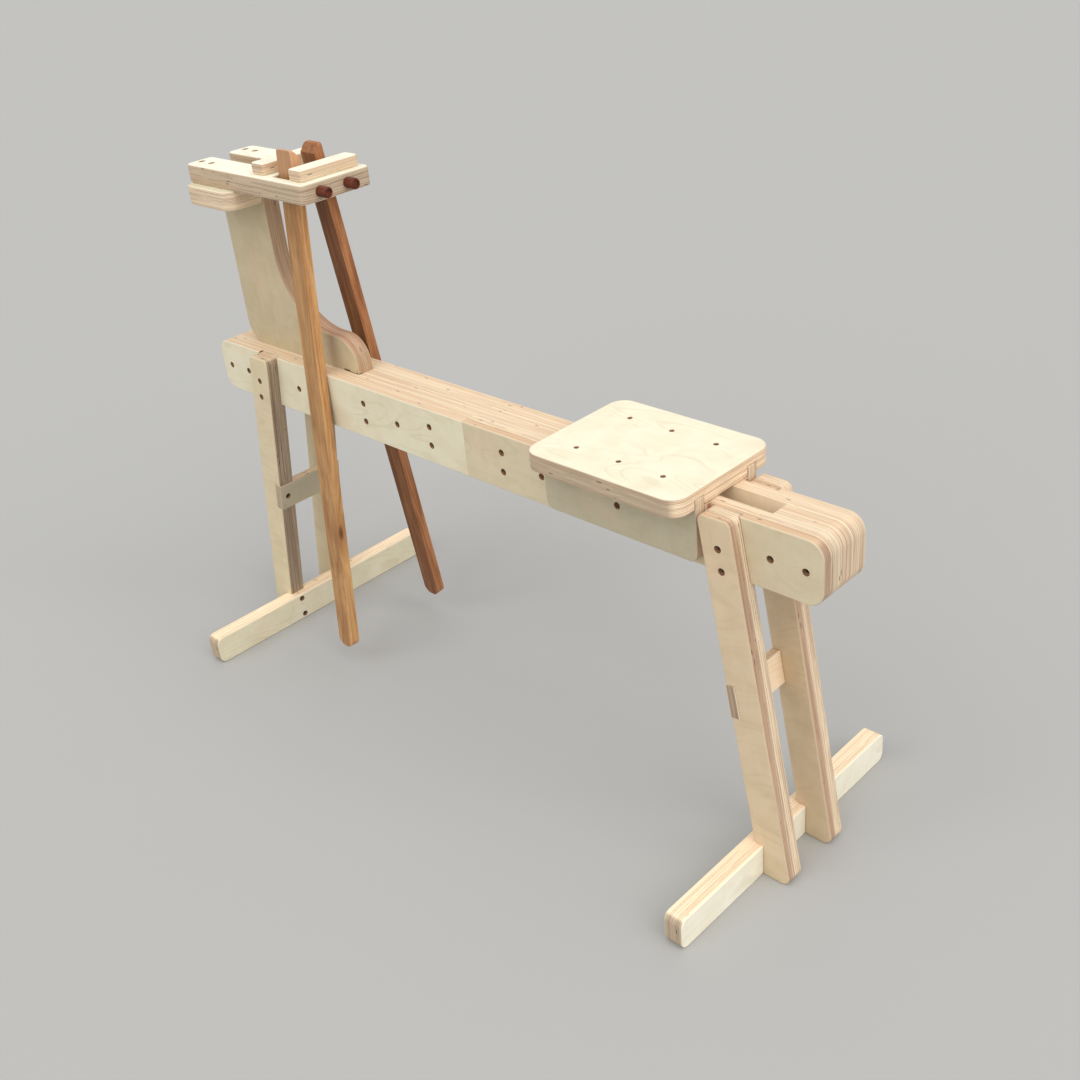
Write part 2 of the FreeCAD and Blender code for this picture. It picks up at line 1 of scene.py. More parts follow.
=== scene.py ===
"""Shaving horse in birch plywood: finishes, eased edges, screws, turned knobs and the studio.

Lengths are metres unless a name ends in _mm. +X runs from the work platform to the
tail of the beam, -Y is the sitter's left and +Z is up.
"""

import logging
import math
from collections.abc import Callable, Iterator
from contextlib import contextmanager
from dataclasses import dataclass
from enum import Enum

import bmesh
import bpy
from mathutils import Matrix, Vector


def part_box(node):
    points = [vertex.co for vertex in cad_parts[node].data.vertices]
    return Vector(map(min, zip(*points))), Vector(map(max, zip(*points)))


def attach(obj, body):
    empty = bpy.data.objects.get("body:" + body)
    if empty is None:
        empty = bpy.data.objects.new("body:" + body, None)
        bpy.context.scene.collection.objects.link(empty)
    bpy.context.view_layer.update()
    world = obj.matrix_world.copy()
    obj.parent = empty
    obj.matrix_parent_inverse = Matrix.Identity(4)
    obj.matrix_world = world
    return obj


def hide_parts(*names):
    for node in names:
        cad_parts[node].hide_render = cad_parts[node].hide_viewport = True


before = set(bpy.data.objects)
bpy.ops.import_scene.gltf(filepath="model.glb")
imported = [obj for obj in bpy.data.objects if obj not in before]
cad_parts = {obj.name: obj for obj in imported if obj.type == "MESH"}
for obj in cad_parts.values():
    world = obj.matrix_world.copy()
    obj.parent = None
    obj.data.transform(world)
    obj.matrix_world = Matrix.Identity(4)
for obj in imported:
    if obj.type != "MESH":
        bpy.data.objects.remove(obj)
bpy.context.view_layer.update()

MM = 0.001
X = Vector((1, 0, 0))
Y = Vector((0, 1, 0))
Z = Vector((0, 0, 1))

LEG_RAKE = math.radians(9.68)
SPLICE_X = 7 * MM
BEAM_OUTSIDE = 44 * MM
HOUSING_WALL = (35.8 * MM, 39 * MM)
HOUSING_MOUTH = 42 * MM
KNOT_PLACE = Vector((-0.312, -0.0765, 0.2655))
# Height above which the left arm's jaw is paler.
JAW_PALER_ABOVE = 0.862

WELD = 0.01 * MM
SLIVER = 0.04 * MM
FLAT_ANGLE = math.radians(0.6)
SHARP_ANGLE = math.radians(35)
BOARD_SMOOTH = math.radians(32)
TURNED_SMOOTH = math.radians(40)

LOG = logging.getLogger("shaving_horse")

Colour = tuple[float, float, float]
Socket = bpy.types.NodeSocket


def linear(*levels: int) -> Colour:
    """Scene-linear colour of a display colour, with red, green and blue from 0 to 255."""
    shares = [level / 255 for level in levels]
    return tuple(share / 12.92 if share <= 0.04045 else ((share + 0.055) / 1.055) ** 2.4
                 for share in shares)


# ------ node graphs


class Graph:
    """Material whose node tree is written as plain expressions."""

    def __init__(self, name: str) -> None:
        """Empty material with a principled shader.

        Args:
            name: Name of the material.
        """
        self.material = bpy.data.materials.new(name)
        self.material.use_nodes = True
        self.tree = self.material.node_tree
        self.tree.nodes.clear()
        self.shader = self.add("BsdfPrincipled")
        output = self.add("OutputMaterial")
        self.feed(output.inputs["Surface"], self.shader.outputs["BSDF"])

    def feed(self, socket: Socket, source: object) -> None:
        """Link a socket to another one, or set its constant."""
        if isinstance(source, bpy.types.NodeSocket):
            self.tree.links.new(source, socket)
        elif isinstance(source, tuple) and socket.type == "RGBA":
            socket.default_value = (*source, 1.0)
        else:
            socket.default_value = source

    def add(self, kind: str, *sources: object, **settings: object) -> bpy.types.Node:
        """New node.

        Args:
            kind: Type of the shader node, such as Math.
            *sources: Sockets or constants for its first inputs.
            **settings: Its properties by name.

        Returns:
            The node.
        """
        node = self.tree.nodes.new(f"ShaderNode{kind}")
        for name, setting in settings.items():
            setattr(node, name, setting)
        for socket, source in zip(node.inputs, sources):
            self.feed(socket, source)
        return node

    def place(self, output: str) -> Socket:
        """Output of the piece's own coordinates: Object or Normal."""
        return self.add("TexCoord").outputs[output]

    def math(self, operation: str, first: object, second: object = 0.0) -> Socket:
        """Result of one arithmetic operation on two sockets or numbers."""
        return self.add("Math", first, second, operation=operation).outputs[0]

    def plus(self, first: object, second: object) -> Socket:
        """Sum of two sockets or numbers."""
        return self.math("ADD", first, second)

    def less(self, first: object, second: object) -> Socket:
        """First socket or number less the second."""
        return self.math("SUBTRACT", first, second)

    def over(self, first: object, second: object) -> Socket:
        """First socket or number divided by the second."""
        return self.math("DIVIDE", first, second)

    def times(self, first: object, *others: object) -> Socket:
        """Product of sockets or numbers."""
        for other in others:
            first = self.math("MULTIPLY", first, other)
        return first

    def size(self, source: Socket) -> Socket:
        """Number without its sign."""
        return self.math("ABSOLUTE", source)

    def weigh(self, *parts: tuple[Socket, object]) -> Socket:
        """Sum of sockets, each times its weight."""
        total, *others = [self.times(source, weight) for source, weight in parts]
        for other in others:
            total = self.plus(total, other)
        return total

    def vector(self, operation: str, output: str, *sources: object) -> Socket:
        """One output of a vector operation."""
        return self.add("VectorMath", *sources, operation=operation).outputs[output]

    def dot(self, first: Socket, second: Vector) -> Socket:
        """Length of a vector along a fixed direction."""
        return self.vector("DOT_PRODUCT", "Value", first, second)

    def combine(self, x: object, y: object, z: object) -> Socket:
        """Vector made of three sockets or numbers."""
        return self.add("CombineXYZ", x, y, z).outputs["Vector"]

    def texture(self, kind: str, vector: Socket, **inputs: float) -> bpy.types.Node:
        """Texture on a vector, with its other inputs set by name."""
        node = self.add(kind)
        for name, source in {"Vector": vector, **inputs}.items():
            self.feed(node.inputs[name], source)
        return node

    def noise(self, vector: Socket, detail: float = 2.0, distortion: float = 0.0) -> Socket:
        """Smooth noise of one feature per unit of the vector, from 0 to 1."""
        return self.texture("TexNoise", vector, Scale=1.0, Detail=detail,
                            Distortion=distortion).outputs["Fac"]

    def dice(self, vector: Socket) -> Socket:
        """Unsmoothed random number for a vector of whole numbers."""
        return self.texture("TexWhiteNoise", vector).outputs["Value"]

    def cells(self, vector: Socket) -> Socket:
        """Distance to the nearest of scattered points, one per unit of the vector."""
        return self.texture("TexVoronoi", vector, Scale=1.0).outputs["Distance"]

    def step(self, source: Socket, low: float, high: float, start: float = 0.0,
             end: float = 1.0) -> Socket:
        """Smooth passage from start to end while the source goes from low to high."""
        return self.add("MapRange", source, low, high, start, end,
                        interpolation_type="SMOOTHSTEP").outputs["Result"]

    def mix(self, share: object, first: object, second: object) -> Socket:
        """Colour between two colours."""
        node = self.add("Mix", data_type="RGBA")
        self.feed(node.inputs["Factor"], share)
        colours = [socket for socket in node.inputs if socket.type == "RGBA"]
        for socket, source in zip(colours, (first, second)):
            self.feed(socket, source)
        return [socket for socket in node.outputs if socket.type == "RGBA"][0]

    def shade(self, colour: Socket, factor: Socket) -> Socket:
        """Colour scaled in brightness by a number."""
        node = self.add("VectorMath", colour, operation="SCALE")
        self.feed(node.inputs["Scale"], factor)
        return node.outputs["Vector"]

    def finish(self, colour: object, roughness: object, height: object = None,
               depth_mm: float = 0.2, strength: float = 0.6) -> bpy.types.Material:
        """Wire the shader.

        Args:
            colour: Base colour, a socket or a constant.
            roughness: Roughness, a socket or a number.
            height: Relief from 0 to 1, or None.
            depth_mm: Height in millimetres that a relief of 1 stands for.
            strength: Strength of the relief.

        Returns:
            The finished material.
        """
        self.feed(self.shader.inputs["Base Color"], colour)
        self.feed(self.shader.inputs["Roughness"], roughness)
        if height is not None:
            bump = self.add("Bump")
            bump.inputs["Strength"].default_value = strength
            bump.inputs["Distance"].default_value = depth_mm * MM
            self.feed(bump.inputs["Height"], height)
            self.feed(self.shader.inputs["Normal"], bump.outputs["Normal"])
        return self.material


# ------ finishes


@dataclass(frozen=True)
class Lay:
    """How a board lies: the direction of its face grain and of its thickness."""

    grain: Vector
    through: Vector

    @property
    def across(self) -> Vector:
        """Direction on the face, square to the grain."""
        return self.through.cross(self.grain)

    def measure(self, graph: Graph, start: Vector) -> list[Socket]:
        """Millimetres along the grain, across it and through the wood.

        Args:
            graph: Graph that gets the nodes.
            start: Place to measure from.

        Returns:
            The three distances.
        """
        spot = graph.vector("SUBTRACT", "Vector", graph.place("Object"), start)
        return [graph.dot(spot, axis / MM) for axis in (self.grain, self.across, self.through)]


class Veneer(Enum):
    """Tone of a board's face veneer: its light and its dark colour."""

    PALE = (linear(244, 239, 216), linear(230, 218, 186))
    CREAM = (linear(231, 224, 198), linear(214, 201, 168))
    OLIVE = (linear(218, 205, 174), linear(200, 182, 150))
    WARM = (linear(221, 201, 169), linear(201, 176, 141))
    SAND = (linear(219, 205, 172), linear(203, 184, 148))
    # Tower's tone: darker than its wood, painted shade from the platform above it.
    TAN = (linear(204, 189, 156), linear(182, 162, 127))
    # Bright pink tone: partly the boards' own hue, partly painted light on the slot wall and the
    # rear rail, which the lamps reach little.
    PEACH_PAINTED_LIGHT = (linear(255, 234, 204), linear(250, 220, 184))
    # Greyer, darker tone: partly the boards' own colour, partly painted shade under the seat and
    # the beam.
    GREY_PAINTED_SHADE = (linear(190, 180, 155), linear(172, 160, 133))
    MILK = (linear(252, 248, 231), linear(240, 231, 204))

    @property
    def light(self) -> Colour:
        """Colour of the early wood."""
        return self.value[0]

    @property
    def dark(self) -> Colour:
        """Colour of the late wood."""
        return self.value[1]


@dataclass(frozen=True)
class Edging:
    """Look of a board's edges.

    Attributes:
        along: Brightness of the edges along the face grain; partly their own tone,
            partly painted light and shade for the way they face.
        across: Brightness of the edges across the face grain; partly the darker end
            grain, partly painted light and shade for the way they face.
        lines: Share of the glue lines that show up dark.
        strength: How dark those glue lines are.
        depth: Most that a stripe takes of the dark tone.
        ground: Least that a stripe takes of the dark tone.
        lean: How much darker the stripes are on the side that the thickness points away from.
    """

    along: float = 1.0
    across: float = 1.0
    lines: float = 0.30
    strength: float = 0.52
    depth: float = 0.62
    ground: float = 0.0
    lean: float = 0.0


class EdgeTone(Enum):
    """Edges by the part of the horse that the board belongs to."""

    # The along and across brightnesses are partly painted light and shade on edges that face one
    # way, most of all on the seat.
    EVEN = Edging()
    SEAT = Edging(along=0.69, across=1.28, lines=0.86, strength=0.62, depth=0.44)
    FOOT = Edging(along=1.28, across=0.68, lines=0.44, strength=0.72, depth=0.32)
    CAP = Edging(along=0.98, across=1.0, lines=0.50, strength=0.86, depth=0.50)
    PLATFORM = Edging(along=0.72, across=0.76, lines=0.55, strength=0.92, depth=0.50)
    TOWER = Edging(along=0.74, across=1.12, lines=0.60, strength=0.70, depth=1.0, ground=0.62)
    FRONT_LEG = Edging(along=0.94, across=0.56, lines=0.60, strength=0.80, depth=0.70)
    REAR_LEG = Edging(along=0.96, across=1.04, lines=0.55, strength=0.95, depth=0.70, lean=0.62)
    TAIL = Edging(across=0.90, lines=0.55, strength=0.75, depth=0.78, lean=0.40)
    RAIL = Edging(along=0.96, across=0.62, lines=0.60, strength=0.70, depth=0.60)


@dataclass(frozen=True)
class Stock:
    """What one board is cut from; the seed makes its figure its own."""

    thickness_mm: float
    plies: int
    seed: float
    veneer: Veneer
    edging: Edging


@dataclass(frozen=True)
class Plywood:
    """Oiled birch plywood: pale rotary-cut faces, striped edges.

    Attributes:
        blush: Warm patches on a face.
        line: Contour lines on a face.
        long_ply: Veneer cut along its grain.
        cross_ply: Veneer cut across its grain.
        end_ply: The same on a board's end.
        knot: Painted shade inside a hole in an inner veneer.
        contours: Density of the contour lines.
        waver_mm: How far the glue lines stray.
        skin_mm: Depths between which an edge pales towards the face.
        face_turn: How squarely a surface lies level where an edge passes into a face.
        end_turn: How squarely it faces the grain where a long edge passes into an end.
    """

    blush: Colour = linear(224, 192, 162)
    line: Colour = linear(168, 148, 108)
    long_ply: Colour = linear(236, 214, 183)
    cross_ply: Colour = linear(206, 167, 131)
    end_ply: Colour = linear(164, 122, 95)
    glue: Colour = linear(118, 80, 60)
    knot: Colour = linear(74, 48, 34)
    roughness: float = 0.55
    edge_rougher: float = 0.14
    contours: float = 62.0
    waver_mm: float = 1.4
    hole_pitch_mm: float = 40.0
    skin_mm: tuple[float, float] = (1.8, 1.1)
    face_turn: tuple[float, float] = (0.80, 0.93)
    end_turn: tuple[float, float] = (0.35, 0.8)

    def material(self, name: str, lay: Lay, centre: Vector, stock: Stock) -> bpy.types.Material:
        """Plywood for one board.

        Args:
            name: Name of the material.
            lay: Directions of the board's grain and thickness.
            centre: Middle of the board.
            stock: What it is cut from.

        Returns:
            The material.
        """
        graph = Graph(name)
        edging = stock.edging
        spot = lay.measure(graph, centre)
        normal = graph.place("Normal")
        facing = graph.size(graph.dot(normal, lay.through))
        ending = graph.size(graph.dot(normal, lay.grain))
        face, face_relief = self._face(graph, spot, stock)
        edge, edge_relief = self._edge(graph, spot, ending, stock)
        # Edges are lighter or darker by the way they face: partly end-grain tone, partly painted
        # light and shade.
        edge = graph.shade(edge, graph.step(ending, *self.end_turn, edging.along, edging.across))
        inner, outer = (stock.thickness_mm / 2 - depth for depth in self.skin_mm)
        skin = graph.step(graph.size(spot[2]), inner, outer, 0.0, 0.62)
        edge = graph.mix(skin, edge, stock.veneer.light)
        on_face = graph.step(facing, *self.face_turn)
        colour = graph.mix(on_face, edge, face)
        relief = graph.weigh((face_relief, on_face), (edge_relief, graph.less(1.0, on_face)))
        roughness = graph.step(on_face, 0.0, 1.0, self.roughness + self.edge_rougher,
                               self.roughness)
        return graph.finish(colour, roughness, relief, depth_mm=0.25, strength=0.5)

    def _face(self, graph: Graph, spot: list[Socket], stock: Stock) -> tuple[Socket, Socket]:
        """Colour and relief of the face veneer.

        Args:
            graph: Graph that gets the nodes.
            spot: Millimetres along the face grain, across it and through the board.
            stock: What the board is cut from.

        Returns:
            The colour and the relief.
        """
        along, across, _ = spot
        veneer = stock.veneer

        def field(along_mm: float, across_mm: float, layer: float, detail: float = 2.0,
                  distortion: float = 0.0) -> Socket:
            """Noise with features of the given length and width."""
            return graph.noise(graph.combine(graph.over(along, along_mm),
                                             graph.over(across, across_mm),
                                             stock.seed + layer), detail, distortion)

        rings = graph.math("SINE", graph.times(field(230.0, 60.0, 0.0, 1.0, 0.5), self.contours))
        contour = graph.step(rings, 0.55, 1.0)
        broken = graph.step(field(110.0, 45.0, 5.0, 1.0), 0.36, 0.66)
        fibre = field(42.0, 1.1, 11.0)
        cloud = graph.step(field(46.0, 34.0, 17.0, 2.0, 0.6), 0.30, 0.72)
        ripple = field(9.0, 40.0, 23.0, 1.0, 0.4)
        fleck = graph.step(field(6.0, 0.6, 31.0, 1.0), 0.66, 0.78)
        blush = graph.step(field(95.0, 60.0, 29.0, 1.0), 0.56, 0.74)
        colour = graph.mix(graph.weigh((cloud, 0.34), (fibre, 0.36)), veneer.light, veneer.dark)
        colour = graph.mix(graph.times(blush, 0.24), colour, self.blush)
        colour = graph.mix(graph.times(contour, broken, 0.15), colour, self.line)
        bright = graph.plus(graph.weigh((ripple, 0.07), (fleck, -0.09)), 0.965)
        return graph.shade(colour, bright), graph.weigh((fibre, 0.25), (fleck, -0.3))

    def _edge(self, graph: Graph, spot: list[Socket], ending: Socket,
              stock: Stock) -> tuple[Socket, Socket]:
        """Colour and relief of the striped edge.

        Args:
            graph: Graph that gets the nodes.
            spot: Millimetres along the face grain, across it and through the board.
            ending: How much the surface faces along the face grain, 0 to 1.
            stock: What the board is cut from.

        Returns:
            The colour and the relief.
        """
        along, across, through = spot
        seed, edging = stock.seed, stock.edging

        def field(length_mm: float, depth_mm: float, layer: float, detail: float = 2.0) -> Socket:
            """Noise along the edge and through the board."""
            return graph.noise(graph.combine(
                graph.plus(graph.over(along, length_mm), seed + layer),
                graph.over(across, length_mm), graph.over(through, depth_mm)), detail)

        waver = graph.times(graph.less(field(90.0, 12.0, 0.0, 0.0), 0.5), self.waver_mm)
        depth = graph.over(graph.plus(through, waver), stock.thickness_mm / stock.plies)
        depth = graph.plus(depth, stock.plies / 2)
        layer = graph.math("FLOOR", depth)
        inside = graph.math("FRACT", depth)
        odd = graph.size(graph.math("MODULO", layer, 2.0))
        turned = graph.step(ending, *self.end_turn)
        crosswise = graph.size(graph.less(odd, turned))
        tint = graph.dice(graph.combine(layer, seed, 0.0))
        broad = graph.step(field(260.0, 5.0, 3.0, 1.0), 0.36, 0.66)
        fine = field(1.3, 0.5, 7.0)
        grain = field(34.0, 0.7, 13.0)
        contrast = graph.step(turned, 0.0, 1.0, 0.18, 0.22)
        near_skin = graph.step(through, -0.30 * stock.thickness_mm, 0.0, edging.lean,
                               -0.45 * edging.lean)
        share = graph.weigh((crosswise, contrast), (tint, 0.36), (broad, 0.46), (grain, 0.30),
                            (near_skin, 1.0))
        dark = graph.mix(turned, self.cross_ply, self.end_ply)
        colour = graph.mix(graph.step(share, 0.22, 1.12, edging.ground, edging.depth),
                           self.long_ply, dark)
        colour = graph.shade(colour, graph.plus(graph.times(fine, 0.15), 0.92))
        seam = graph.step(inside, 0.0, 0.48, 1.0, 0.0)
        chosen = graph.step(graph.dice(graph.combine(layer, seed + 3.7, 1.0)),
                            0.96 - edging.lines, 1.08 - edging.lines)
        lasting = graph.step(field(46.0, 3.0, 19.0, 1.0), 0.36, 0.52)
        strong = graph.times(chosen, lasting, edging.strength)
        faint = graph.step(turned, 0.0, 1.0, 0.06, 0.20)
        colour = graph.mix(graph.times(seam, graph.plus(strong, faint)), colour, self.glue)
        spacing = graph.combine(graph.over(along, self.hole_pitch_mm),
                                graph.over(across, self.hole_pitch_mm), graph.times(layer, 3.7))
        # Holes in inner veneers, darkened with painted shade instead of being cut.
        hole_shade = graph.times(graph.step(graph.cells(spacing), 0.08, 0.13, 1.0, 0.0),
                           graph.step(graph.size(graph.less(inside, 0.5)), 0.26, 0.40, 1.0, 0.0))
        colour = graph.mix(graph.times(hole_shade, 0.8), colour, self.knot)
        return colour, graph.weigh((fine, 0.5), (seam, -0.4), (hole_shade, -1.0))


@dataclass(frozen=True)
class Hardwood:
    """Oiled solid hardwood with long streaks and open pores.

    Attributes:
        pore: Colour of the open pores and of a knot's heart.
        broad_face_shade: Brightness of the faces across the growth rings, on the arms the
        sitter-side faces: partly their darker figure, partly painted shade.
        paler: Paler colour that the wood takes above a height.
        paler_fade: Half the height over which it pales.
        knot_length: How much longer than wide a knot is.
        knot_reach_mm: Distance within which the grain bends round a knot.
        knot_push_mm: How far it bends.
    """

    light: Colour
    dark: Colour
    pore: Colour
    roughness: float = 0.45
    broad_face_shade: float = 1.0
    paler: Colour = linear(214, 166, 132)
    paler_fade: float = 9 * MM
    knot_length: float = 2.8
    knot_reach_mm: float = 48.0
    knot_push_mm: float = 16.0

    def material(self, name: str, lay: Lay, centre: Vector, seed: float,
                 streak_mm: float = 3.4, knot: Vector | None = None,
                 paler_above: float | None = None) -> bpy.types.Material:
        """Hardwood for one piece.

        Args:
            name: Name of the material.
            lay: Grain direction and the direction square to the growth rings.
            centre: Middle of the piece.
            seed: Number that makes the figure its own.
            streak_mm: Width of a streak.
            knot: Middle of a knot, or None.
            paler_above: Height above which the wood is paler, or None.

        Returns:
            The material.
        """
        graph = Graph(name)
        along, across, through = lay.measure(graph, centre)
        if knot is not None:
            grainwise, aside, deep = lay.measure(graph, knot)
            spot = graph.combine(graph.over(grainwise, self.knot_length), aside, deep)
            reach = graph.vector("LENGTH", "Value", spot)
            across = graph.plus(across, graph.step(reach, 0.0, self.knot_reach_mm,
                                                   self.knot_push_mm, 0.0))

        def field(along_mm: float, wide_mm: float, layer: float, detail: float = 2.0,
                  distortion: float = 0.0) -> Socket:
            """Noise with features of the given length and width."""
            return graph.noise(graph.combine(
                graph.over(along, along_mm),
                graph.over(graph.plus(across, seed + layer), wide_mm),
                graph.over(through, wide_mm)), detail, distortion)

        broad = field(130.0, 12.0, 0.0, 2.0, 1.1)
        streak = field(90.0, streak_mm, 40.0, 3.0, 0.7)
        cloud = field(38.0, 19.0, 60.0, 2.0, 0.8)
        fibre = field(24.0, 0.6, 80.0)
        pore = graph.step(field(7.0, 0.55, 120.0, 1.0), 0.60, 0.74)
        share = graph.weigh((broad, 0.58), (streak, 0.42))
        colour = graph.mix(graph.step(share, 0.30, 0.70), self.light, self.dark)
        colour = graph.mix(graph.times(pore, 0.36), colour, self.pore)
        if knot is not None:
            ragged = graph.plus(reach, graph.times(streak, 3.0))
            colour = graph.mix(graph.step(ragged, 4.0, 26.0, 0.75, 0.0), colour, self.dark)
            colour = graph.mix(graph.step(ragged, 3.0, 8.5, 0.85, 0.0), colour, self.pore)
        # Paler above a height: on the left arm, the jaw above the platform.
        if paler_above is not None:
            height = graph.dot(graph.place("Object"), Z)
            paled = graph.step(height, paler_above - self.paler_fade, paler_above + self.paler_fade,
                               0.0, 0.6)
            colour = graph.mix(paled, colour, self.paler)
        # Faces across the growth rings are darker: partly their figure, partly painted shade.
        flat = graph.step(graph.size(graph.dot(graph.place("Normal"), lay.across)),
                          0.5, 0.9, 1.0, self.broad_face_shade)
        bright = graph.plus(graph.weigh((fibre, 0.28), (cloud, 0.24)), 0.74)
        colour = graph.shade(colour, graph.times(bright, flat))
        graph.shader.inputs["Specular IOR Level"].default_value = 0.22
        return graph.finish(colour, self.roughness, graph.weigh((fibre, 0.4), (pore, -0.5)),
                            depth_mm=0.2, strength=0.5)


@dataclass(frozen=True)
class Metal:
    """Metal with a fine irregular surface."""

    colour: Colour
    paler: Colour
    roughness: float
    grain_mm: float = 1.2

    def material(self, name: str) -> bpy.types.Material:
        """Metal for rods or screws."""
        graph = Graph(name)
        graph.shader.inputs["Metallic"].default_value = 1.0
        spots = [graph.over(graph.dot(graph.place("Object"), axis / MM), self.grain_mm)
                 for axis in (X, Y + 0.4 * Z)]
        mottle = graph.noise(graph.combine(*spots, 0.0), 3.0)
        colour = graph.mix(graph.step(mottle, 0.40, 0.65), self.colour, self.paler)
        rough = graph.plus(graph.times(mottle, 0.16), self.roughness - 0.08)
        return graph.finish(colour, rough, mottle, depth_mm=0.05, strength=0.4)


@dataclass(frozen=True)
class CutWood:
    """Wood as the cutter left it: rough, browned and never sanded or oiled."""

    light: Colour
    dark: Colour
    roughness: float = 0.9
    grain_mm: float = 1.3

    def material(self, name: str) -> bpy.types.Material:
        """Rough wood inside bores and housings."""
        graph = Graph(name)
        place = graph.place("Object")
        spots = [graph.dot(place, axis / MM / self.grain_mm) for axis in (X, Y, Z)]
        mottle = graph.noise(graph.combine(*spots), 3.0)
        colour = graph.mix(graph.step(mottle, 0.35, 0.65), self.dark, self.light)
        return graph.finish(colour, self.roughness, mottle, depth_mm=0.3, strength=0.7)


BIRCH = Plywood()
# The last number of each arm's wood darkens its sitter-side faces, partly painted shade.
HONEY = Hardwood(linear(222, 173, 118), linear(174, 122, 76), linear(100, 66, 42), 0.5, 0.72)
RUSSET = Hardwood(linear(190, 132, 88), linear(140, 86, 54), linear(74, 40, 26), 0.5, 0.60)
DARK = Hardwood(linear(126, 62, 42), linear(66, 28, 20), linear(30, 12, 10), 0.35)
BORED = CutWood(linear(186, 146, 112), linear(126, 90, 66))
# Housing end walls: cut end grain, darkened further with painted shade of the gap beside the leg.
CHOPPED_SHADED = CutWood(linear(188, 132, 108), linear(146, 92, 74))
ROD_STEEL = Metal(linear(150, 150, 152), linear(188, 188, 190), 0.35)
SCREW_STEEL = Metal(linear(70, 58, 50), linear(120, 102, 86), 0.45)


# ------ modelling helpers


def deselect() -> None:
    """Clear the selection, so that an operator acts only on what is selected next."""
    for thing in bpy.context.selected_objects:
        thing.select_set(False)


def activate(piece: bpy.types.Object) -> None:
    """Select one object alone and make it the active one."""
    deselect()
    piece.select_set(True)
    bpy.context.view_layer.objects.active = piece


def add_object(name: str, data: bpy.types.ID) -> bpy.types.Object:
    """New object in the scene."""
    thing = bpy.data.objects.new(name, data)
    bpy.context.scene.collection.objects.link(thing)
    return thing


@contextmanager
def editing(piece: bpy.types.Object) -> Iterator[None]:
    """Edit mode on one piece, with all of it selected at first."""
    activate(piece)
    bpy.ops.object.mode_set(mode="EDIT")
    bpy.ops.mesh.select_all(action="SELECT")
    yield
    bpy.ops.object.mode_set(mode="OBJECT")


def apply_modifier(piece: bpy.types.Object, kind: str, **settings: object) -> None:
    """Add a modifier, set it and apply it.

    Args:
        piece: Object to change.
        kind: Type of the modifier.
        **settings: Its properties by name.
    """
    modifier = piece.modifiers.new(kind.lower(), kind)
    for name, setting in settings.items():
        setattr(modifier, name, setting)
    activate(piece)
    bpy.ops.object.modifier_apply(modifier=modifier.name)


def merged_copy(node: str, name: str) -> bpy.types.Object:
    """Copy of a node as a clean closed mesh.

    Args:
        node: Name of the CAD node.
        name: Name of the copy.

    Returns:
        The copy, with its flat faces in one piece.
    """
    piece = add_object(name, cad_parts[node].data.copy())
    with editing(piece):
        bpy.ops.mesh.customdata_custom_splitnormals_clear()
        bpy.ops.mesh.remove_doubles(threshold=WELD)
        bpy.ops.mesh.dissolve_limited(angle_limit=FLAT_ANGLE)
    return piece


def soften(piece: bpy.types.Object, radius_mm: float, **limit: object) -> None:
    """Round the sharp edges of a piece and smooth its shading.

    Args:
        piece: The piece, still sharp.
        radius_mm: Full radius of its edges.
        **limit: Settings of the bevel that choose the edges.
    """
    apply_modifier(piece, "BEVEL", width=radius_mm * MM, segments=3, **limit)
    with editing(piece):
        bpy.ops.mesh.dissolve_degenerate(threshold=SLIVER)
    bpy.ops.object.shade_smooth_by_angle(angle=BOARD_SMOOTH)
    apply_modifier(piece, "WEIGHTED_NORMAL", keep_sharp=True, weight=60)


def dress(piece: bpy.types.Object, *materials: bpy.types.Material) -> None:
    """Give a piece its materials in slot order."""
    piece.data.materials.clear()
    for material in materials:
        piece.data.materials.append(material)


def hand_over(piece: bpy.types.Object, node: str, body: str) -> None:
    """Put a piece on its body and let it stand for its node.

    Args:
        piece: The finished piece.
        node: Name of the node that it stands for.
        body: Name of the body it moves with.
    """
    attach(piece, body)
    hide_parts(node)
    LOG.info("%s: %d faces", piece.name, len(piece.data.polygons))


def middle_of(node: str) -> Vector:
    """Middle of a node's box."""
    low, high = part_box(node)
    return (low + high) / 2


@dataclass(frozen=True)
class Bore:
    """Axis of one screw: the middle of its head and the way it points."""

    head: Vector
    way: Vector
    reach: float = 5.4 * MM
    floor: float = -0.3 * MM
    mouth: float = 7.4 * MM

    def holds(self, point: Vector) -> bool:
        """Whether a point lies on the wall or floor of the bore above the head."""
        offset = point - self.head
        lift = -offset.dot(self.way)
        aside = (offset + self.way * lift).length
        return aside < self.reach and self.floor < lift < self.mouth

    def lines(self, corners: list[Vector]) -> bool:
        """Whether a face with these corners is part of the bore."""
        return all(self.holds(corner) for corner in corners)


def screw_axes(node: str, head_corners: int = 6) -> list[Bore]:
    """Head and direction of every screw in a node.

    Args:
        node: Name of the CAD node of a group of screws.
        head_corners: Number of points on the rim of a head.

    Returns:
        One bore per screw.
    """
    solid = bmesh.new()
    solid.from_mesh(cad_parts[node].data)
    bmesh.ops.remove_doubles(solid, verts=solid.verts, dist=WELD)
    left = set(solid.verts)
    bores = []
    while left:
        island = {left.pop()}
        newest = set(island)
        while newest:
            newest = {other for vert in newest for edge in vert.link_edges
                      for other in edge.verts} - island
            island |= newest
        left -= island
        points = [vert.co.copy() for vert in island]
        middle = sum(points, Vector()) / len(points)
        tip = max(points, key=lambda point: (point - middle).length)
        rim = sorted(points, key=lambda point: -(point - tip).length)[:head_corners]
        head = sum(rim, Vector()) / len(rim)
        bores.append(Bore(head, (tip - head).normalized()))
    solid.free()
    return sorted(bores, key=lambda bore: tuple(round(part, 4) for part in bore.head))


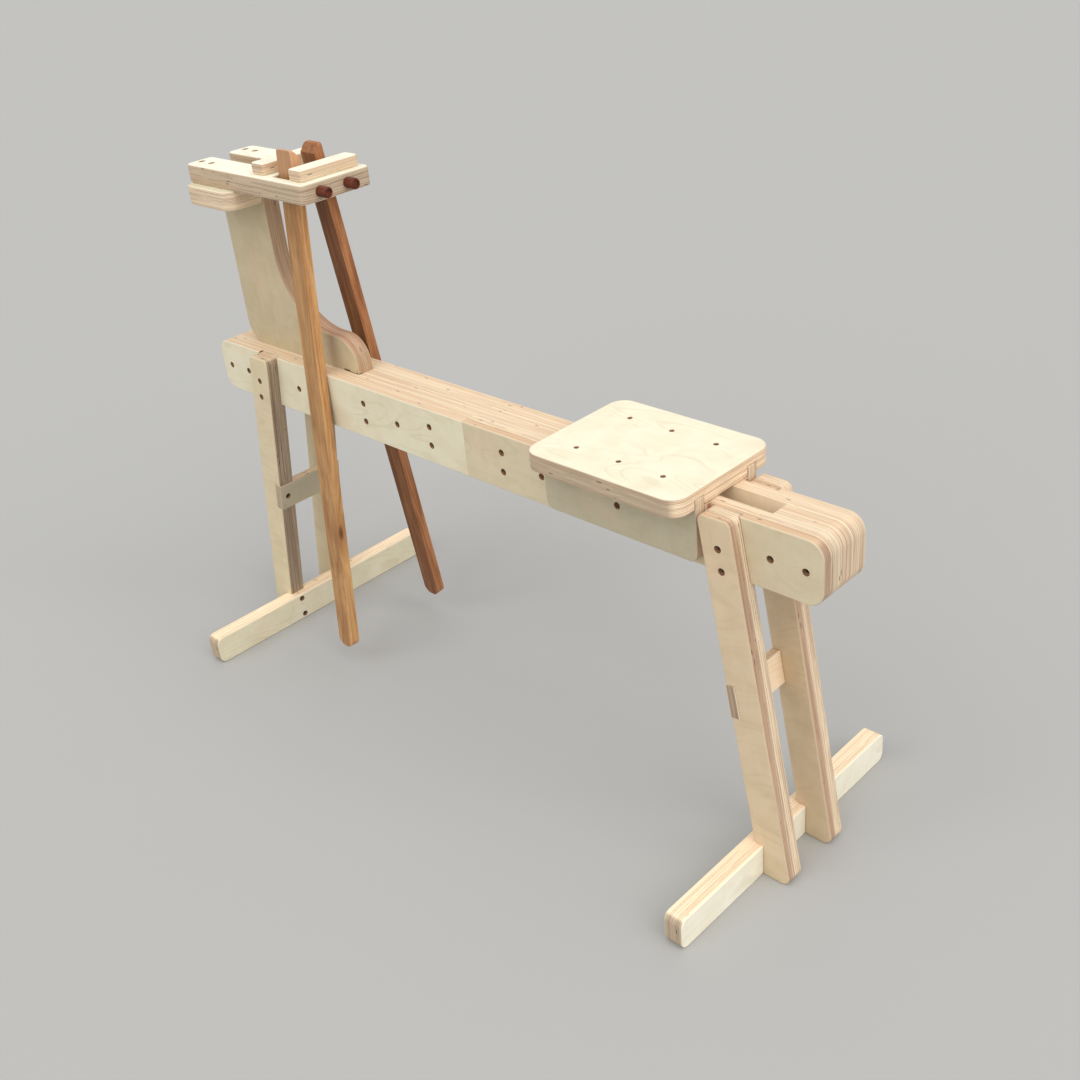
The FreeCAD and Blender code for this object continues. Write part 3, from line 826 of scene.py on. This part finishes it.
SCREW_NODES = ("beam_screws", "leg_screws", "foot_bar_screws", "cross_rail_screws",
               "platform_screws", "seat_screws", "seat_clamp_screws")
BORES = {node: screw_axes(node) for node in SCREW_NODES}


# ------ boards


EdgeRule = Callable[[Vector], float]
FaceRule = Callable[[list[Vector]], bool]


def eased(_: Vector) -> float:
    """Full edge radius all round a board."""
    return 1.0


def lamination(middle: Vector) -> float:
    """Full radius on the beam's outside, little at the splice, hardly any at the glue lines."""
    if abs(middle.x - SPLICE_X) < 0.1 * MM:
        return 0.35
    return 1.0 if abs(middle.y) > BEAM_OUTSIDE else 0.12


def nowhere(_: list[Vector]) -> bool:
    """No face of the board is left as the chisel cut it."""
    return False


def leg_housing(corners: list[Vector]) -> bool:
    """Whether a face is an end wall of a leg's housing on the outside of the beam."""
    depths = [abs(corner.y) for corner in corners]
    low, high = HOUSING_WALL
    return low < min(depths) < high and max(depths) > HOUSING_MOUTH


@dataclass(frozen=True)
class Rough:
    """Materials of the surfaces that were never sanded."""

    bored: bpy.types.Material
    # Housing walls: unsanded wood, darkened partly with painted shade.
    chopped_shaded: bpy.types.Material


@dataclass
class Board:
    """One plywood board, with eased edges, bores and its own veneer."""

    node: str
    lay: Lay
    plies: int = 15
    body: str = "frame"
    slot: str = "birch_ply"
    veneer: Veneer = Veneer.CREAM
    edge_tone: EdgeTone = EdgeTone.EVEN
    radius_mm: float = 2.0
    rule: EdgeRule = eased
    chopped_shaded: FaceRule = nowhere
    seed: float = 0.0
    screws: tuple[str, ...] = ()
    bore_share: float = 1.0
    bore_radius_share: float = 0.3

    def build(self, rough: Rough) -> bpy.types.Object:
        """Model and dress the board.

        Args:
            rough: Materials for its bores and housings.

        Returns:
            The board.
        """
        piece = merged_copy(self.node, f"{self.node}_board")
        bores = [bore for name in self.screws for bore in BORES[name]]
        self._weigh_edges(piece, bores)
        self._tighten(piece, bores)
        soften(piece, self.radius_mm, limit_method="WEIGHT", use_clamp_overlap=False,
               loop_slide=False)
        stock = Stock(self._thickness_mm(piece), self.plies, self.seed, self.veneer,
                      self.edge_tone.value)
        ply = BIRCH.material(f"{self.node}_ply", self.lay, middle_of(self.node), stock)
        dress(piece, ply, rough.bored, rough.chopped_shaded)
        for face in piece.data.polygons:
            corners = [piece.data.vertices[index].co for index in face.vertices]
            if any(bore.lines(corners) for bore in bores):
                face.material_index = 1
            # Housing end walls get the chopped wood, darkened with painted shade.
            elif self.chopped_shaded(corners):
                face.material_index = 2
        hand_over(piece, self.node, self.body)
        return piece

    def _thickness_mm(self, piece: bpy.types.Object) -> float:
        """Size of the piece along the board's thickness."""
        spots = [vert.co.dot(self.lay.through) for vert in piece.data.vertices]
        return (max(spots) - min(spots)) / MM

    def _tighten(self, piece: bpy.types.Object, bores: list[Bore]) -> None:
        """Draw the walls of the bores in to the board's share of their radius."""
        for vert in piece.data.vertices:
            for bore in bores:
                if bore.holds(vert.co):
                    foot = bore.head + bore.way * (vert.co - bore.head).dot(bore.way)
                    vert.co = foot + (vert.co - foot) * self.bore_share

    def _weigh_edges(self, piece: bpy.types.Object, bores: list[Bore]) -> None:
        """Give every sharp edge the share of the full radius that it gets.

        Args:
            piece: The board, still sharp.
            bores: Screw axes that may pass through it.
        """
        solid = bmesh.new()
        solid.from_mesh(piece.data)
        weights = solid.edges.layers.float.new("bevel_weight_edge")
        for edge in solid.edges:
            if len(edge.link_faces) != 2 or edge.calc_face_angle() < SHARP_ANGLE:
                continue
            middle = (edge.verts[0].co + edge.verts[1].co) / 2
            in_bore = any(bore.holds(middle) for bore in bores)
            edge[weights] = self.bore_radius_share if in_bore else self.rule(middle)
        solid.to_mesh(piece.data)
        solid.free()


@dataclass
class Beam:
    """Three laminations, the core ones with gaps for the tower and the tail slot."""

    core_nodes: tuple[str, ...] = ("beam_core_front", "beam_core_middle", "beam_core_rear")
    side_boards: tuple[tuple[str, Veneer, EdgeTone], ...] = (
        ("beam_side_left_front", Veneer.CREAM, EdgeTone.EVEN),
        ("beam_side_left_rear", Veneer.OLIVE, EdgeTone.TAIL),
        ("beam_side_right_front", Veneer.CREAM, EdgeTone.EVEN),
        # Painted light: the slot wall inside this board is brightened.
        ("beam_side_right_rear", Veneer.PEACH_PAINTED_LIGHT, EdgeTone.EVEN),
    )

    def build(self, rough: Rough) -> list[bpy.types.Object]:
        """All seven boards of the beam."""
        lay = Lay(X, Y)
        boards = [Board(node, lay, slot="birch_core", rule=lamination, seed=3.1 * number)
                  for number, node in enumerate(self.core_nodes, start=1)]
        for number, (node, veneer, edge_tone) in enumerate(self.side_boards, start=1):
            # The housings' end walls carry painted shade.
            boards.append(Board(node, lay, rule=lamination, chopped_shaded=leg_housing, veneer=veneer,
                                edge_tone=edge_tone, seed=20 + 5.7 * number,
                                screws=("beam_screws",)))
        return [board.build(rough) for board in boards]


@dataclass(frozen=True)
class StandEnd:
    """Tones of the legs, foot bar and rail at one end; the sign is -1 in front, 1 at the tail."""

    name: str
    sign: int
    leg_edge: EdgeTone
    leg: Veneer
    foot: Veneer
    rail: Veneer


@dataclass
class Stand:
    """Four raked legs, their foot bars and the cross rails between them."""

    ends: tuple[StandEnd, ...] = (
        # The front rail's grey tone is partly painted shade under the beam.
        StandEnd("front", -1, EdgeTone.FRONT_LEG, Veneer.SAND, Veneer.CREAM, Veneer.GREY_PAINTED_SHADE),
        # The rear rail's bright tone is partly painted light.
        StandEnd("rear", 1, EdgeTone.REAR_LEG, Veneer.WARM, Veneer.MILK, Veneer.PEACH_PAINTED_LIGHT),
    )
    rail_plies: int = 7

    def build(self, rough: Rough) -> list[bpy.types.Object]:
        """Legs, foot bars and rails at both ends."""
        boards = []
        for end in self.ends:
            slope = Vector((math.cos(LEG_RAKE), 0, end.sign * math.sin(LEG_RAKE)))
            for number, side in enumerate(("left", "right")):
                boards.append(Board(f"leg_{end.name}_{side}", Lay(slope, Y), veneer=end.leg,
                                    edge_tone=end.leg_edge, seed=61 + end.sign * 7 + number * 3,
                                    screws=("leg_screws",)))
            boards.append(Board(f"foot_bar_{end.name}", Lay(Y, X), veneer=end.foot,
                                edge_tone=EdgeTone.FOOT, seed=80 + end.sign * 5,
                                screws=("foot_bar_screws",)))
            boards.append(Board(f"cross_rail_{end.name}", Lay(Y, slope), plies=self.rail_plies,
                                veneer=end.rail, radius_mm=0.8, edge_tone=EdgeTone.RAIL,
                                seed=95 + end.sign * 4, screws=("cross_rail_screws",)))
        return [board.build(rough) for board in boards]


@dataclass
class WorkHead:
    """Tower, its cap, the forked platform and the two rest bars.

    The gap under the tower's toe is made of boxes, each with its front, rear and top.
    """

    rest_plies: int = 9
    rest_radius_mm: float = 3.4
    toe_gap_mm: tuple[tuple[float, float, float], ...] = (
        (-305.0, -289.0, 547.2), (-290.0, -266.0, 545.2), (-271.0, -268.8, 550.5),
    )
    toe_gap_side_mm: tuple[float, float] = (-16.0, -7.0)
    toe_gap_floor_mm: float = 543.0

    def build(self, rough: Rough) -> list[bpy.types.Object]:
        """All boards of the head."""
        boards = [
            # The tower's darker veneer is painted shade from the platform.
            Board("tower", Lay(Z, Y), seed=131, veneer=Veneer.TAN,
                  edge_tone=EdgeTone.TOWER),
            Board("tower_cap", Lay(Y, Z), seed=137, radius_mm=3.0, edge_tone=EdgeTone.CAP),
            Board("platform", Lay(X, Z), seed=149, veneer=Veneer.MILK, radius_mm=3.4,
                  edge_tone=EdgeTone.PLATFORM, screws=("platform_screws",)),
        ]
        for place, seed in (("front", 151), ("rear", 157)):
            boards.append(Board(f"rest_bar_{place}", Lay(Y, Z), plies=self.rest_plies,
                                veneer=Veneer.MILK, seed=seed, radius_mm=self.rest_radius_mm))
        made = [board.build(rough) for board in boards]
        self._open_toe(made[0])
        return made

    def _open_toe(self, tower: bpy.types.Object) -> None:
        """Open the narrow gap between the tower's toe and the beam on the sitter's left."""
        outside, inside = self.toe_gap_side_mm
        for front, rear, top in self.toe_gap_mm:
            low = Vector((front, outside, self.toe_gap_floor_mm)) * MM
            high = Vector((rear, inside, top)) * MM
            box = Matrix.LocRotScale((low + high) / 2, None, high - low)
            solid = bmesh.new()
            bmesh.ops.create_cube(solid, size=1.0, matrix=box)
            cutter = add_object("toe_gap", bpy.data.meshes.new("toe_gap"))
            solid.to_mesh(cutter.data)
            solid.free()
            apply_modifier(tower, "BOOLEAN", operation="DIFFERENCE", solver="EXACT", object=cutter)
            bpy.data.meshes.remove(cutter.data)


@dataclass
class Seat:
    """Seat board on its two cheeks."""

    board_plies: int = 13
    cheek_plies: int = 9

    def build(self, rough: Rough) -> list[bpy.types.Object]:
        """The seat board and both cheeks."""
        boards = [Board("seat_board", Lay(X, Z), plies=self.board_plies, body="seat",
                        slot="seat_birch", veneer=Veneer.PALE, edge_tone=EdgeTone.SEAT,
                        radius_mm=3.0, seed=171, screws=("seat_screws",), bore_share=0.58)]
        for number, side in enumerate(("left", "right")):
            # The cheeks are grey: partly their own tone, partly painted shade under the seat.
            boards.append(Board(f"seat_cheek_{side}", Lay(X, Y), plies=self.cheek_plies,
                                body="seat", veneer=Veneer.GREY_PAINTED_SHADE, radius_mm=1.8,
                                seed=180 + 4 * number, screws=("seat_clamp_screws",)))
        return [board.build(rough) for board in boards]


# ------ arms and pivots


@dataclass
class SwingArm:
    """Hardwood arm with an eased jaw and treadle end."""

    side: str
    slot: str
    finish: Hardwood
    lean: float
    seed: float
    radius_mm: float = 1.6
    knot: Vector | None = None
    paler_above: float | None = None

    def build(self) -> bpy.types.Object:
        """Model and dress the arm."""
        node = f"swing_arm_{self.side}"
        piece = merged_copy(node, f"{node}_bar")
        soften(piece, self.radius_mm, limit_method="ANGLE", angle_limit=SHARP_ANGLE)
        grain = Vector((0, math.sin(self.lean), -math.cos(self.lean)))
        dress(piece, self.finish.material(f"{node}_wood", Lay(grain, X), middle_of(node),
                                          self.seed, knot=self.knot,
                                          paler_above=self.paler_above))
        hand_over(piece, node, f"arm_{self.side}")
        return piece


@dataclass
class Pivot:
    """Steel rod on the arm's axis and the turned knob on its end."""

    side: str
    seed: float
    turns: int = 48
    streak_mm: float = 1.6
    profile_mm: tuple[tuple[float, float], ...] = (
        (0.0, 0.0), (0.0, 8.0), (0.5, 8.4), (1.4, 8.5), (9.0, 8.45), (17.6, 8.5), (19.2, 8.3),
        (20.1, 7.7), (20.5, 6.9), (20.5, 6.1), (20.3, 5.5), (19.6, 5.1), (17.9, 4.9),
        (17.7, 4.5), (17.7, 0.0),
    )

    def build(self, steel: bpy.types.Material) -> list[bpy.types.Object]:
        """Turn the knob and dress the rod.

        Args:
            steel: Material of the rod.

        Returns:
            The knob and the rod.
        """
        node = f"pivot_knob_{self.side}"
        middle = middle_of(node)
        start = Vector((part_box(node)[0].x, middle.y, middle.z))
        mesh = bpy.data.meshes.new(f"{node}_turned")
        points = [start + Vector((x, 0, radius)) * MM for x, radius in self.profile_mm]
        mesh.from_pydata(points, [(i, i + 1) for i in range(len(points) - 1)], [])
        knob = add_object(f"{node}_turned", mesh)
        with editing(knob):
            bpy.ops.mesh.spin(steps=self.turns, angle=math.tau, center=start, axis=X)
            bpy.ops.mesh.select_all(action="SELECT")
            bpy.ops.mesh.remove_doubles(threshold=WELD)
            bpy.ops.mesh.normals_make_consistent(inside=False)
        bpy.ops.object.shade_smooth_by_angle(angle=TURNED_SMOOTH)
        dress(knob, DARK.material(f"{node}_wood", Lay(X, Z), middle, self.seed, self.streak_mm))
        hand_over(knob, node, "frame")
        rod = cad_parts[f"pivot_rod_{self.side}"]
        dress(rod, steel)
        return [knob, rod]


# ------ screws


@dataclass
class ScrewSet:
    """Countersunk screws with a star recess, one piece per group."""

    node: str
    body: str = "frame"
    length_mm: float = 36.0
    head_mm: float = 4.6
    shank_mm: float = 2.4
    rim_mm: float = 2.2
    recess_mm: float = 2.15
    lobe_mm: float = 0.4
    recess_depth_mm: float = 2.2
    land_mm: float = 0.4
    cone_mm: float = 2.6
    point_mm: float = 5.0
    tip_mm: float = 0.5
    lobes: int = 6
    sides: int = 24

    def build(self, steel: bpy.types.Material) -> bpy.types.Object:
        """Model one screw, copy it to every bore and join the copies.

        Args:
            steel: Material of the screws.

        Returns:
            The group of screws.
        """
        pattern = self._pattern()
        copies = []
        for bore in BORES[self.node]:
            copy = add_object("screw_copy", pattern.data.copy())
            turn = (-Z).rotation_difference(bore.way).to_matrix().to_4x4()
            copy.data.transform(Matrix.Translation(bore.head) @ turn)
            copies.append(copy)
        bpy.data.objects.remove(pattern)
        group = copies[0]
        activate(group)
        for copy in copies:
            copy.select_set(True)
        bpy.ops.object.join()
        group.name = f"{self.node}_set"
        activate(group)
        bpy.ops.object.shade_smooth_by_angle(angle=TURNED_SMOOTH)
        dress(group, steel)
        hand_over(group, self.node, self.body)
        return group

    def _pattern(self) -> bpy.types.Object:
        """One screw at the origin, pointing down."""
        deselect()
        bpy.ops.mesh.primitive_circle_add(vertices=self.sides, radius=self.head_mm * MM,
                                          fill_type="NGON", location=(0, 0, 0))
        screw = bpy.context.active_object
        with editing(screw):
            bpy.ops.mesh.inset(thickness=self.rim_mm * MM)
            self._shape_recess(screw)
            self._extrude(self.recess_depth_mm)
            bpy.ops.mesh.select_all(action="DESELECT")
            solid = bmesh.from_edit_mesh(screw.data)
            for edge in solid.edges:
                edge.select_set(edge.is_boundary)
            bmesh.update_edit_mesh(screw.data)
            shank = self.length_mm - self.land_mm - self.cone_mm - self.point_mm
            for drop, radius in ((self.land_mm, self.head_mm), (self.cone_mm, self.shank_mm),
                                 (shank, self.shank_mm), (self.point_mm, self.tip_mm)):
                self._extrude(drop)
                self._size_ring(screw, radius)
            bpy.ops.mesh.edge_face_add()
            bpy.ops.mesh.select_all(action="SELECT")
            bpy.ops.mesh.normals_make_consistent(inside=False)
        return screw

    def _shape_recess(self, screw: bpy.types.Object) -> None:
        """Turn the inner ring of the head into a star."""
        solid = bmesh.from_edit_mesh(screw.data)
        for vert in solid.verts:
            if vert.co.length < (self.head_mm - self.rim_mm / 2) * MM:
                angle = math.atan2(vert.co.y, vert.co.x)
                radius = (self.recess_mm + self.lobe_mm * math.cos(self.lobes * angle)) * MM
                vert.co = Vector((math.cos(angle), math.sin(angle), 0)) * radius
        bmesh.update_edit_mesh(screw.data)

    def _extrude(self, drop_mm: float) -> None:
        """Extrude the selection straight down."""
        move = {"value": (0, 0, -drop_mm * MM)}
        bpy.ops.mesh.extrude_region_move(TRANSFORM_OT_translate=move)

    def _size_ring(self, screw: bpy.types.Object, radius_mm: float) -> None:
        """Set the radius of the selected ring of vertices."""
        solid = bmesh.from_edit_mesh(screw.data)
        for vert in solid.verts:
            if vert.select:
                flat = vert.co.xy.normalized() * radius_mm * MM
                vert.co = Vector((*flat, vert.co.z))
        bmesh.update_edit_mesh(screw.data)


# ------ studio


@dataclass(frozen=True)
class SoftLight:
    """Wide, distant diffuser: soft shadows and no falloff across the object."""

    name: str
    place: Vector
    irradiance: float
    spread_deg: float
    colour: Colour = (1.0, 1.0, 1.0)

    def build(self) -> None:
        """Make the light."""
        light = bpy.data.lights.new(self.name, "SUN")
        light.energy = self.irradiance * math.pi
        light.angle = math.radians(self.spread_deg)
        light.color = self.colour
        thing = add_object(self.name, light)
        thing.location = self.place
        thing.rotation_mode = "QUATERNION"
        thing.rotation_quaternion = (-self.place).to_track_quat("-Z", "Y")


@dataclass
class Studio:
    """Pale floor, soft lights and the camera."""

    floor_size: float = 60.0
    floor_drop: float = 0.2 * MM
    floor_colour: Colour = linear(176, 176, 175)
    floor_worn: Colour = linear(186, 186, 185)
    sky_colour: Colour = linear(246, 246, 246)
    sky_strength: float = 0.66
    camera_place: tuple[float, float, float] = (1.3214, -1.1411, 1.3152)
    camera_turn: tuple[float, float, float] = (2.0100833639, 0.7459549697, -0.5437975651)
    sensor_mm: float = 36.0
    lens_mm: float = 42.79
    shift: tuple[float, float] = (-0.0096, 0.0033)
    sight: tuple[float, float] = (0.01, 100.0)
    lights: tuple[SoftLight, ...] = (
        SoftLight("overhead", Vector((0.3, -0.3, 6.0)), 0.16, 80, (1.0, 0.99, 0.97)),
        SoftLight("tail_side", Vector((6.0, -0.6, 5.4)), 0.42, 55, (1.0, 0.97, 0.92)),
        SoftLight("near_side", Vector((-0.7, -6.0, 5.0)), 0.30, 55, (1.0, 1.0, 0.98)),
    )

    def build(self) -> None:
        """Make the floor, the sky, the lights and the camera."""
        self._floor()
        self._sky()
        for light in self.lights:
            light.build()
        self._camera()

    def _floor(self) -> None:
        """Plain pale floor with a very faint unevenness."""
        deselect()
        bpy.ops.mesh.primitive_plane_add(size=self.floor_size, location=(0, 0, -self.floor_drop))
        floor = bpy.context.active_object
        floor.name = "studio_floor"
        graph = Graph("studio_floor_paint")
        graph.shader.inputs["Specular IOR Level"].default_value = 0.2
        place = graph.place("Object")
        mottle = graph.noise(graph.combine(graph.dot(place, X), graph.dot(place, Y), 0.0), 2.0)
        colour = graph.mix(graph.times(mottle, 0.1), self.floor_colour, self.floor_worn)
        dress(floor, graph.finish(colour, 0.8))

    def _sky(self) -> None:
        """Even pale light from all round."""
        world = bpy.data.worlds.new("studio_sky")
        world.use_nodes = True
        background = world.node_tree.nodes["Background"]
        background.inputs["Color"].default_value = (*self.sky_colour, 1.0)
        background.inputs["Strength"].default_value = self.sky_strength
        bpy.context.scene.world = world

    def _camera(self) -> None:
        """Camera at its fitted place; its turn is an axis as long as the angle."""
        axis = Vector(self.camera_turn)
        turn = Matrix.Rotation(axis.length, 3, axis.normalized())
        right, down, forward = turn.row[0], turn.row[1], turn.row[2]
        axes = Matrix((right, -Vector(down), -Vector(forward))).transposed()
        data = bpy.data.cameras.new("studio_camera")
        data.sensor_width = self.sensor_mm
        data.lens = self.lens_mm
        data.shift_x, data.shift_y = self.shift
        data.clip_start, data.clip_end = self.sight
        camera = add_object("studio_camera", data)
        camera.matrix_world = Matrix.Translation(self.camera_place) @ axes.to_4x4()
        bpy.context.scene.camera = camera
        bpy.context.scene.view_settings.view_transform = "Standard"


# ------ the whole object


def main() -> None:
    """Build every sub-assembly, then the studio round it."""
    rough = Rough(BORED.material("bored_wood"), CHOPPED_SHADED.material("chopped_shaded_wood"))
    rod_steel = ROD_STEEL.material("rod_steel")
    screw_steel = SCREW_STEEL.material("screw_steel")
    pieces = [board for assembly in (Beam(), Stand(), WorkHead(), Seat())
              for board in assembly.build(rough)]
    for arm in (
        SwingArm("left", "honey_hardwood", HONEY, math.radians(-4.1), 5.0, knot=KNOT_PLACE,
                 paler_above=JAW_PALER_ABOVE),
        SwingArm("right", "russet_hardwood", RUSSET, math.radians(7.0), 90.0),
    ):
        pieces.append(arm.build())
    for pivot in (Pivot("left", seed=7.0), Pivot("right", seed=31.0)):
        pieces.extend(pivot.build(rod_steel))
    for screws in (
        ScrewSet("beam_screws", length_mm=75.0),
        ScrewSet("leg_screws"),
        ScrewSet("foot_bar_screws"),
        ScrewSet("cross_rail_screws"),
        ScrewSet("platform_screws"),
        ScrewSet("seat_screws", "seat", head_mm=3.4),
        ScrewSet("seat_clamp_screws", "seat", length_mm=11.0),
    ):
        pieces.append(screws.build(screw_steel))
    LOG.info("%d pieces", len(pieces))
    Studio().build()


if __name__ == "__main__":
    logging.basicConfig(level=logging.INFO, format="%(message)s")
    main()
